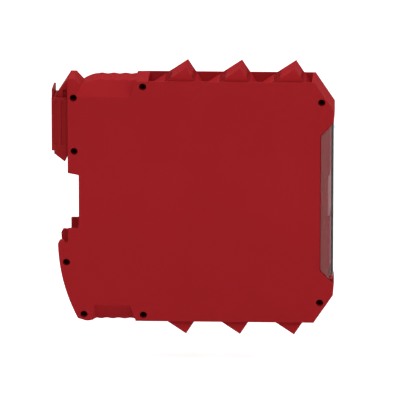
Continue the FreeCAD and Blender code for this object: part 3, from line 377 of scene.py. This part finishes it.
def plated_metal(name, colour, roughness, grain_size=0.5, tarnish=(0.9, 0.88, 0.84), rounding=0.06):
    """
    Plated or bare metal, with sizes in millimetres. Noise mixes in a duller shade, the colour times
    the tarnish, and finer noise makes the gloss drift and the drawn or rolled skin uneven.
    """
    material, tree, shader, place = new_material(name)
    dull = tuple(c * t * TARNISH_DARK for c, t in zip(colour, tarnish))
    tarnished = spread(tree, noise(tree, place, TARNISH_SIZE, detail=4), 0, TARNISH_MOST)
    tree.links.new(two_colours(tree, tarnished, colour, dull), shader.inputs["Base Color"])
    tree.links.new(spread(tree, noise(tree, place, grain_size, detail=5), roughness - 0.08, roughness + 0.1),
                   shader.inputs["Roughness"])
    skin = noise(tree, place, SKIN_SHARE * grain_size, detail=3)
    tree.links.new(relief(tree, skin, strength=0.25, depth=0.01, rounding=rounding),
                   shader.inputs["Normal"])
    shader.inputs["Metallic"].default_value = 1.0
    return material


header_black = moulded_plastic("header_black", (0.018, 0.018, 0.019), roughness=0.5, grain_size=0.2, rub_and_highlight=0.1)
dress(header_black, "board_connector",
      *[f"header_{row}_{number}" for row in ("top", "bottom") for number in (1, 2, 3)])
dress(plated_metal("tinned_pins", (0.78, 0.77, 0.74), roughness=0.24, grain_size=0.4), "header_pins")

# ------------------------------------------------------------------ housing halves
# Two shells of red glass-filled polyamide with a spark-eroded finish. Each is moulded with its half
# of the grips and the rail hook, and pins of the far one press into holes of the near one.

dress(moulded_plastic("housing_red", (0.382, 0.0172, 0.0215), roughness=0.58),
      "near_half_shell", "far_half_shell")

# ------------------------------------------------------------------ front panel and its lands
# Red moulded tray that closes the housing's front, behind the flap. Raised lands above and below
# the marking strip's bed are moulded with it; the three lamp windows pierce the lower one.

LAND_SUNK, LAND_THICK = 0.02 * MM, 0.82 * MM
LAND_CORNER, LAND_EDGE = 0.8 * MM, 0.15 * MM
LAND_OVERHANG, BED_GAP = 1.2 * MM, 0.3 * MM
UPPER_MARGIN, LOWER_MARGIN = 1.6 * MM, 3.6 * MM
LAMP_RADIUS, WINDOW_RADIUS = 1.4 * MM, 1.75 * MM


def place_piece(name, mesh):
    """New piece with its mesh as it lies, at the origin."""
    piece = bpy.data.objects.new(name, mesh)
    bpy.context.scene.collection.objects.link(piece)
    return piece


def flat_moulding(name, outlines, back, front, rounding):
    """
    Plate square to the depth axis, between two places along it, with rounded edges. Each outline is
    a closed run of (across, up) points; the first is the rim and the others are holes. It is filled
    and carried along the depth, with its edges round a quarter circle of the rounding's radius.
    """
    shape = bpy.data.curves.new(f"{name}_outline", "CURVE")
    shape.dimensions = "2D"
    shape.fill_mode = "BOTH"
    shape.extrude = (front - back) / 2 - rounding
    shape.bevel_depth = rounding
    shape.bevel_resolution = 2
    shape.offset = -rounding
    for points in outlines:
        spline = shape.splines.new("POLY")
        spline.points.add(len(points) - 1)
        spline.points.foreach_set("co", np.column_stack((
            points, np.zeros(len(points)), np.ones(len(points)))).ravel())
        spline.use_cyclic_u = True
    drawn = bpy.data.objects.new(f"{name}_drawn", shape)
    bpy.context.scene.collection.objects.link(drawn)
    bpy.context.view_layer.update()
    mesh = bpy.data.meshes.new_from_object(drawn.evaluated_get(bpy.context.evaluated_depsgraph_get()))
    bpy.data.objects.remove(drawn)
    flat = np.empty(len(mesh.vertices) * 3)
    mesh.vertices.foreach_get("co", flat)
    across, up, out = flat.reshape(-1, 3).T
    mesh.vertices.foreach_set("co", np.column_stack(((front + back) / 2 + out, across, up)).ravel())
    mesh.update()
    return place_piece(name, mesh)


def rounded_frame(low, high, radius, corner_steps=5):
    """
    Points round a rectangle between its (across, up) corners: at each corner a quarter circle of
    the radius, about a centre that lies the radius inside both sides.
    """
    centres = np.array([(high[0] - radius, high[1] - radius), (low[0] + radius, high[1] - radius),
                        (low[0] + radius, low[1] + radius), (high[0] - radius, low[1] + radius)])
    angles = np.radians(90 * (np.arange(4)[:, None] + np.arange(corner_steps + 1) / corner_steps))
    arcs = radius * np.stack((np.cos(angles), np.sin(angles)), axis=-1)
    return (centres[:, None] + arcs).reshape(-1, 2)


def round_hole(across, up, radius, steps=28):
    """Points evenly round a circle: the radius times cosine and sine, about its centre."""
    angles = math.tau * np.arange(steps) / steps
    return np.column_stack((across + radius * np.cos(angles), up + radius * np.sin(angles)))


panel_red = moulded_plastic("panel_red", (0.50, 0.017, 0.020), roughness=0.5, grain_size=0.16)
dress(panel_red, "front_panel")

strip_low, strip_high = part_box("marking_strip")
lamps_low, lamps_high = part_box("light_pipe")
cover_low, cover_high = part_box("front_cover")
land_back = strip_low[0] - LAND_SUNK
land_front = land_back + LAND_THICK
land_half = strip_high[1] + LAND_OVERHANG
lamp_up = (lamps_low[2] + lamps_high[2]) / 2
lamp_out = lamps_high[1] - LAMP_RADIUS
upper_land = flat_moulding("panel_upper_land", [
    rounded_frame((-land_half, strip_high[2] + BED_GAP), (land_half, cover_high[2] - UPPER_MARGIN),
                  LAND_CORNER),
], land_back, land_front, LAND_EDGE)
lower_land = flat_moulding("panel_lower_land", [
    rounded_frame((-land_half, cover_low[2] + LOWER_MARGIN), (land_half, strip_low[2] - BED_GAP),
                  LAND_CORNER),
    *[round_hole(across, lamp_up, WINDOW_RADIUS) for across in (-lamp_out, 0, lamp_out)],
], land_back, land_front, LAND_EDGE)
for land in (upper_land, lower_land):
    land.data.materials.append(panel_red)
    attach(land, "housing")

# ------------------------------------------------------------------ marking strip and its carrier
# Blank strip of pale card, whose short fibres lie across it. A white moulding snaps into the bed
# and holds the card by its rim, flush with the lands.

CARD_PALE, CARD_DARK = (0.80, 0.79, 0.75), (0.70, 0.69, 0.65)
FIBRE_STRETCH = (1, 0.25, 1)
CARRIER_RIM, CARRIER_OVERLAP, CARRIER_SUNK = 1.1 * MM, 0.05 * MM, 0.05 * MM
CARRIER_CORNER, CARRIER_INNER_CORNER, CARRIER_EDGE = 0.3 * MM, 0.4 * MM, 0.12 * MM

strip_card, card_tree, card_shader, card_place = new_material("strip_card")
fibres = card_tree.nodes.new("ShaderNodeMapping")
fibres.inputs["Scale"].default_value = FIBRE_STRETCH
card_tree.links.new(card_place, fibres.inputs["Vector"])
fibre_shades = spread(card_tree, noise(card_tree, fibres.outputs[0], size=0.5, detail=5), 0, 1)
card_tree.links.new(two_colours(card_tree, fibre_shades, CARD_PALE, CARD_DARK),
                    card_shader.inputs["Base Color"])
card_tree.links.new(relief(card_tree, noise(card_tree, fibres.outputs[0], size=0.3, detail=4),
                           strength=0.3, depth=0.02), card_shader.inputs["Normal"])
card_shader.inputs["Roughness"].default_value = 0.8
dress(strip_card, "marking_strip")

carrier = flat_moulding("strip_carrier", [
    rounded_frame((-land_half, strip_low[2] - CARRIER_OVERLAP),
                  (land_half, strip_high[2] + CARRIER_OVERLAP), CARRIER_CORNER),
    rounded_frame((-land_half + CARRIER_RIM, strip_low[2] + CARRIER_RIM),
                  (land_half - CARRIER_RIM, strip_high[2] - CARRIER_RIM), CARRIER_INNER_CORNER),
], land_back, land_front - CARRIER_SUNK, CARRIER_EDGE)
carrier.data.materials.append(moulded_plastic("carrier_white", (0.74, 0.72, 0.68), roughness=0.45,
                                              grain_size=0.15, specular=0.2))
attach(carrier, "housing")

# ------------------------------------------------------------------ light pipe
# Clear moulding, frosted by its diffusing faces: three rods that stand in the lamp windows, joined
# by a bar behind the panel.

SHADE_SIZE, SCUFF_SIZE, WAVE_SIZE = 14, 0.9, 9  # Millimetres
DEEP_SHADE, CLEAR_IOR = 0.94, 1.46


def clear_plastic(name, colour, roughness=0.06, transmission=1.0, scuff=0.05, tint=None, density=0):
    """
    Clear moulding with faint waves in its faces. Slow noise mixes in a deeper shade, fine noise
    adds handling scuffs to the gloss, and a tint darkens with the thickness.
    """
    material, tree, shader, place = new_material(name)
    deep = tuple(c * DEEP_SHADE for c in colour)
    tree.links.new(two_colours(tree, spread(tree, noise(tree, place, SHADE_SIZE), 0, 1), colour, deep),
                   shader.inputs["Base Color"])
    tree.links.new(spread(tree, noise(tree, place, SCUFF_SIZE, detail=6), roughness, roughness + scuff),
                   shader.inputs["Roughness"])
    tree.links.new(relief(tree, noise(tree, place, WAVE_SIZE, detail=1), strength=0.1, depth=0.02,
                          rounding=0.2), shader.inputs["Normal"])
    shader.inputs["Transmission Weight"].default_value = transmission
    shader.inputs["IOR"].default_value = CLEAR_IOR
    if tint:
        depth = tree.nodes.new("ShaderNodeVolumeAbsorption")
        depth.inputs["Color"].default_value = (*tint, 1)
        depth.inputs["Density"].default_value = density
        tree.links.new(depth.outputs[0], tree.nodes["Material Output"].inputs["Volume"])
    return material


dress(clear_plastic("light_pipe_clear", (0.93, 0.95, 0.93), roughness=0.28, transmission=0.85,
                    scuff=0.12), "light_pipe")

# ------------------------------------------------------------------ flap
# Smoke-tinted polycarbonate, moulded in one piece: a front plate with a cheek at each side, and at
# its lower end two eyes that snap over the panel's pivot stubs.

dress(clear_plastic("smoked_polycarbonate", (0.97, 0.95, 0.95), tint=(0.54, 0.02, 0.080), density=720),
      "front_cover")

# ------------------------------------------------------------------ terminal plugs
# Bodies of red polyamide, with a slightly coarser grain than the housing, that push onto the pins.
# Each holds four zinc-plated clamp cages, and four contacts of springy bronze beside the pins.


def plug_nodes(ending):
    """Names of the plugs' nodes with an ending."""
    return [name for name in nodes if name.startswith("plug_") and name.endswith(ending)]


dress(moulded_plastic("plug_red", (0.410, 0.0175, 0.0220), roughness=0.6, grain_size=0.3),
      *plug_nodes("_body"))
dress(plated_metal("cage_zinc", (0.74, 0.75, 0.76), roughness=0.34, grain_size=0.6), *plug_nodes("_cages"))
dress(plated_metal("contact_bronze", (0.80, 0.62, 0.40), roughness=0.3, grain_size=0.4,
                   tarnish=(1.0, 0.86, 0.7)), *plug_nodes("_contacts"))

# ------------------------------------------------------------------ clamp screws
# Slotted M2.5 screws of nickel-plated steel, four to a plug, captive under the screwdriver holes.
# Each is turned about the axis of its CAD solid: a chamfered head with a sawn slot over a rolled
# thread with a pointed end.

HEAD_LONG, CHAMFER = 2.0 * MM, 0.22 * MM
SLOT_HALF, SLOT_DEEP = 0.3 * MM, 0.8 * MM
CREST_RADIUS, ROOT_RADIUS, PITCH = 1.2 * MM, 1.0 * MM, 0.5 * MM
NECK_RADIUS, NECK_LONG = 0.9 * MM, 0.25 * MM
TIP_RADIUS, POINT_LONG = 0.6 * MM, 0.5 * MM
ARC_STEPS, THREAD_STEPS, TIP_SIDES = 12, 16, 28
SAME_PLACE = 0.001 * MM
HEAD_SHARE = 0.9  # Corners this far out to the widest one are the head's

body_of = {name: body for body, names in frame["record"]["behaviour"]["bodies"].items() for name in names}
screw_steel = plated_metal("screw_nickel", (0.79, 0.77, 0.72), roughness=0.22, grain_size=0.35, rounding=0.05)


def solids_of(mesh):
    """
    Corner places of each separate solid in a mesh of loose triangles. Corners in the same place
    are one. Each has a number of its own, and each triangle gives its corners the lowest of their
    numbers until none changes; a solid is then all the corners with one number.
    """
    places = np.empty(len(mesh.vertices) * 3)
    mesh.vertices.foreach_get("co", places)
    places = places.reshape(-1, 3)
    drawn = np.empty(len(mesh.loops), dtype=int)
    mesh.loops.foreach_get("vertex_index", drawn)
    kept, merged = np.unique(np.round(places / SAME_PLACE), axis=0, return_index=True,
                             return_inverse=True)[1:]
    triangles = merged.ravel()[drawn].reshape(-1, 3)
    number, settled = np.arange(len(kept)), False
    while not settled:
        lowest = number.copy()
        np.minimum.at(lowest, triangles, number[triangles].min(axis=1, keepdims=True))
        settled = (lowest == number).all()
        number = lowest
    return [places[kept[number == solid]] for solid in np.unique(number)]


def round_axis(heights, radii, angles):
    """Points at heights along the axis, and round it by radii times cosine and sine of angles."""
    cosines, sines = np.cos(angles), np.sin(angles)
    return np.stack(np.broadcast_arrays(heights, radii * cosines, radii * sines), axis=-1).reshape(-1, 3)


def grid_faces(grid, closed=False):
    """
    Quads between neighbouring rows and columns of a grid of point numbers. Closed joins the last
    column to the first.
    """
    if closed:
        grid = np.pad(grid, ((0, 0), (0, 1)), mode="wrap")
    corners = (grid[:-1, :-1], grid[:-1, 1:], grid[1:, 1:], grid[1:, :-1])
    return np.stack(corners, axis=-1).reshape(-1, 4).tolist()


def screw(places, first):
    """
    Points of one screw, and its faces with the points numbered from first. It stands in the place
    of a CAD solid with these corners: its axis is the way they spread most, towards the wide head,
    and its points are worked out along that axis and round it.
    """
    origin = places.mean(axis=0)
    from_origin = places - origin
    axis = np.linalg.svd(from_origin)[2][0] * (1, 0, 1)
    axis /= np.linalg.norm(axis)
    along = from_origin @ axis
    away = np.linalg.norm(from_origin - np.outer(along, axis), axis=1)
    head_radius = away.max()
    if along[away > HEAD_SHARE * head_radius].mean() < 0:
        axis, along = -axis, -along
    top, tail = along.max(), along.min()

    # Head: a segment on either side of the slot. Its arc goes down over the chamfer to the slot's
    # floor, and its top and the slot's wall close it
    rim = head_radius - CHAMFER
    slot_angle = math.asin(SLOT_HALF / rim)
    arc = np.linspace(slot_angle, math.pi - slot_angle, ARC_STEPS + 1)
    head_heights = np.array([[top], [top - CHAMFER], [top - SLOT_DEEP]])
    head_radii = np.array([[rim], [head_radius], [head_radius]])
    points = [round_axis(head_heights, head_radii, angles) for angles in (arc, -arc)]
    segments = first + np.arange(6 * len(arc)).reshape(2, 3, -1)
    faces = []
    for segment in segments:
        upper, outer, foot = segment.tolist()
        faces += [*grid_faces(segment), upper, [upper[0], upper[-1], foot[-1], foot[0]],
                  [upper[0], outer[0], foot[0]], [upper[-1], outer[-1], foot[-1]]]

    # Below the slot's floor the head goes straight down to its seat
    floor = np.concatenate((segments[0, 2], segments[1, 2, ::-1]))
    seat = segments[-1, -1, -1] + 1 + np.arange(len(floor))
    points.append(np.concatenate(points)[floor - first] - (HEAD_LONG - SLOT_DEEP, 0, 0))
    faces += [floor.tolist(), seat.tolist(), *grid_faces(np.array((floor, seat)), closed=True)]

    # Thread: a root and, half a pitch above it, a crest climb by the pitch a turn. They are joined
    # to each other, and the crest to the root of the next turn
    bottom = tail + POINT_LONG
    step = np.arange(int((top - HEAD_LONG - bottom) / PITCH * THREAD_STEPS))
    points.append(round_axis(bottom + PITCH * step / THREAD_STEPS + np.array([[0], [PITCH / 2]]),
                             np.array([[ROOT_RADIUS], [CREST_RADIUS]]), math.tau * step / THREAD_STEPS))
    root, crest = seat[-1] + 1 + np.arange(2 * len(step)).reshape(2, -1)
    faces += grid_faces(np.array((root, crest)))
    faces += grid_faces(np.array((crest[:-THREAD_STEPS], root[THREAD_STEPS:])))

    # Pointed end: three rings that narrow to a flat tip
    points.append(round_axis(np.array([[bottom], [tail + NECK_LONG], [tail]]),
                             np.array([[ROOT_RADIUS], [NECK_RADIUS], [TIP_RADIUS]]),
                             math.tau * np.arange(TIP_SIDES) / TIP_SIDES))
    tip = crest[-1] + 1 + np.arange(3 * TIP_SIDES).reshape(3, -1)
    faces += [*grid_faces(tip, closed=True), tip[-1].tolist()]

    across = np.array((0, 1, 0))
    return origin + np.concatenate(points) @ np.array((axis, across, np.cross(axis, across))), faces


def outward_mesh(name, points, faces):
    """Mesh of points and faces, with the faces turned outwards."""
    mesh = bpy.data.meshes.new(name)
    mesh.from_pydata(points.tolist(), [], faces)
    turning = bmesh.new()
    turning.from_mesh(mesh)
    bmesh.ops.recalc_face_normals(turning, faces=turning.faces)
    turning.to_mesh(mesh)
    turning.free()
    return mesh


for node_name in plug_nodes("_screws"):
    points, faces = np.empty((0, 3)), []
    for places in solids_of(nodes[node_name].data):
        screw_points, screw_faces = screw(places, len(points))
        points = np.concatenate((points, screw_points))
        faces += screw_faces
    screws = place_piece(f"{node_name}_turned", outward_mesh(f"{node_name}_turned", points, faces))
    screws.data.materials.append(screw_steel)
    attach(screws, body_of[node_name])
    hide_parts(node_name)

# ------------------------------------------------------------------ rail latch
# Sprung U-shaped slide of red acetal, smoother than the housing. Its tongues run in grooves of the
# housing's guide block, and a screwdriver in the notch at its top lifts it off the rail.

dress(moulded_plastic("latch_red", (0.352, 0.0168, 0.0190), roughness=0.5, grain_size=0.18,
                      rounding=0.22, specular=0.02), "rail_latch")

# ------------------------------------------------------------------ latch spring
# Compression spring of round steel wire with closed ends, between the latch's foot and the roof of
# its pocket; it shortens as the latch is lifted, but is drawn here at one length on the housing.

WIRE_RADIUS = 0.22 * MM
TURNS, TURN_STEPS, WIRE_SIDES = 9, 26, 8

spring_low, spring_high = (Vector(corner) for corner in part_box("latch_spring"))
centre = (spring_low + spring_high) / 2
coil_radius = (spring_high.y - spring_low.y) / 2 - WIRE_RADIUS

# The wire's circle is carried round the coil's axis. It climbs one wire in the first turn and one
# in the last, which lie close, and evenly over the turns between
turn = np.linspace(0, TURNS, TURNS * TURN_STEPS + 1)[:, None]
tilt = math.tau * np.arange(WIRE_SIDES) / WIRE_SIDES
close_climb = (np.minimum(turn, 1) + np.maximum(turn - TURNS + 1, 0)) * WIRE_RADIUS * 2
open_climb = np.clip((turn - 1) / (TURNS - 2), 0, 1) * (spring_high.z - spring_low.z - WIRE_RADIUS * 6)
wire_out = coil_radius + WIRE_RADIUS * np.cos(tilt)
wire_up = spring_low.z + WIRE_RADIUS + close_climb + open_climb + WIRE_RADIUS * np.sin(tilt)
wire_points = np.stack((centre.x + wire_out * np.cos(math.tau * turn),
                        centre.y + wire_out * np.sin(math.tau * turn), wire_up), axis=-1).reshape(-1, 3)
wire_grid = np.arange(len(wire_points)).reshape(-1, WIRE_SIDES)
wire_ends = wire_grid[[0, -1]].tolist()
spring_wire = place_piece("latch_spring_wire", outward_mesh(
    "latch_spring_wire", wire_points, grid_faces(wire_grid, closed=True) + wire_ends))
spring_wire.data.shade_smooth()
spring_wire.data.materials.append(plated_metal("spring_steel", (0.62, 0.61, 0.60), roughness=0.25,
                                               grain_size=0.3))
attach(spring_wire, "housing")
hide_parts("latch_spring")
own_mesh(spring_wire)
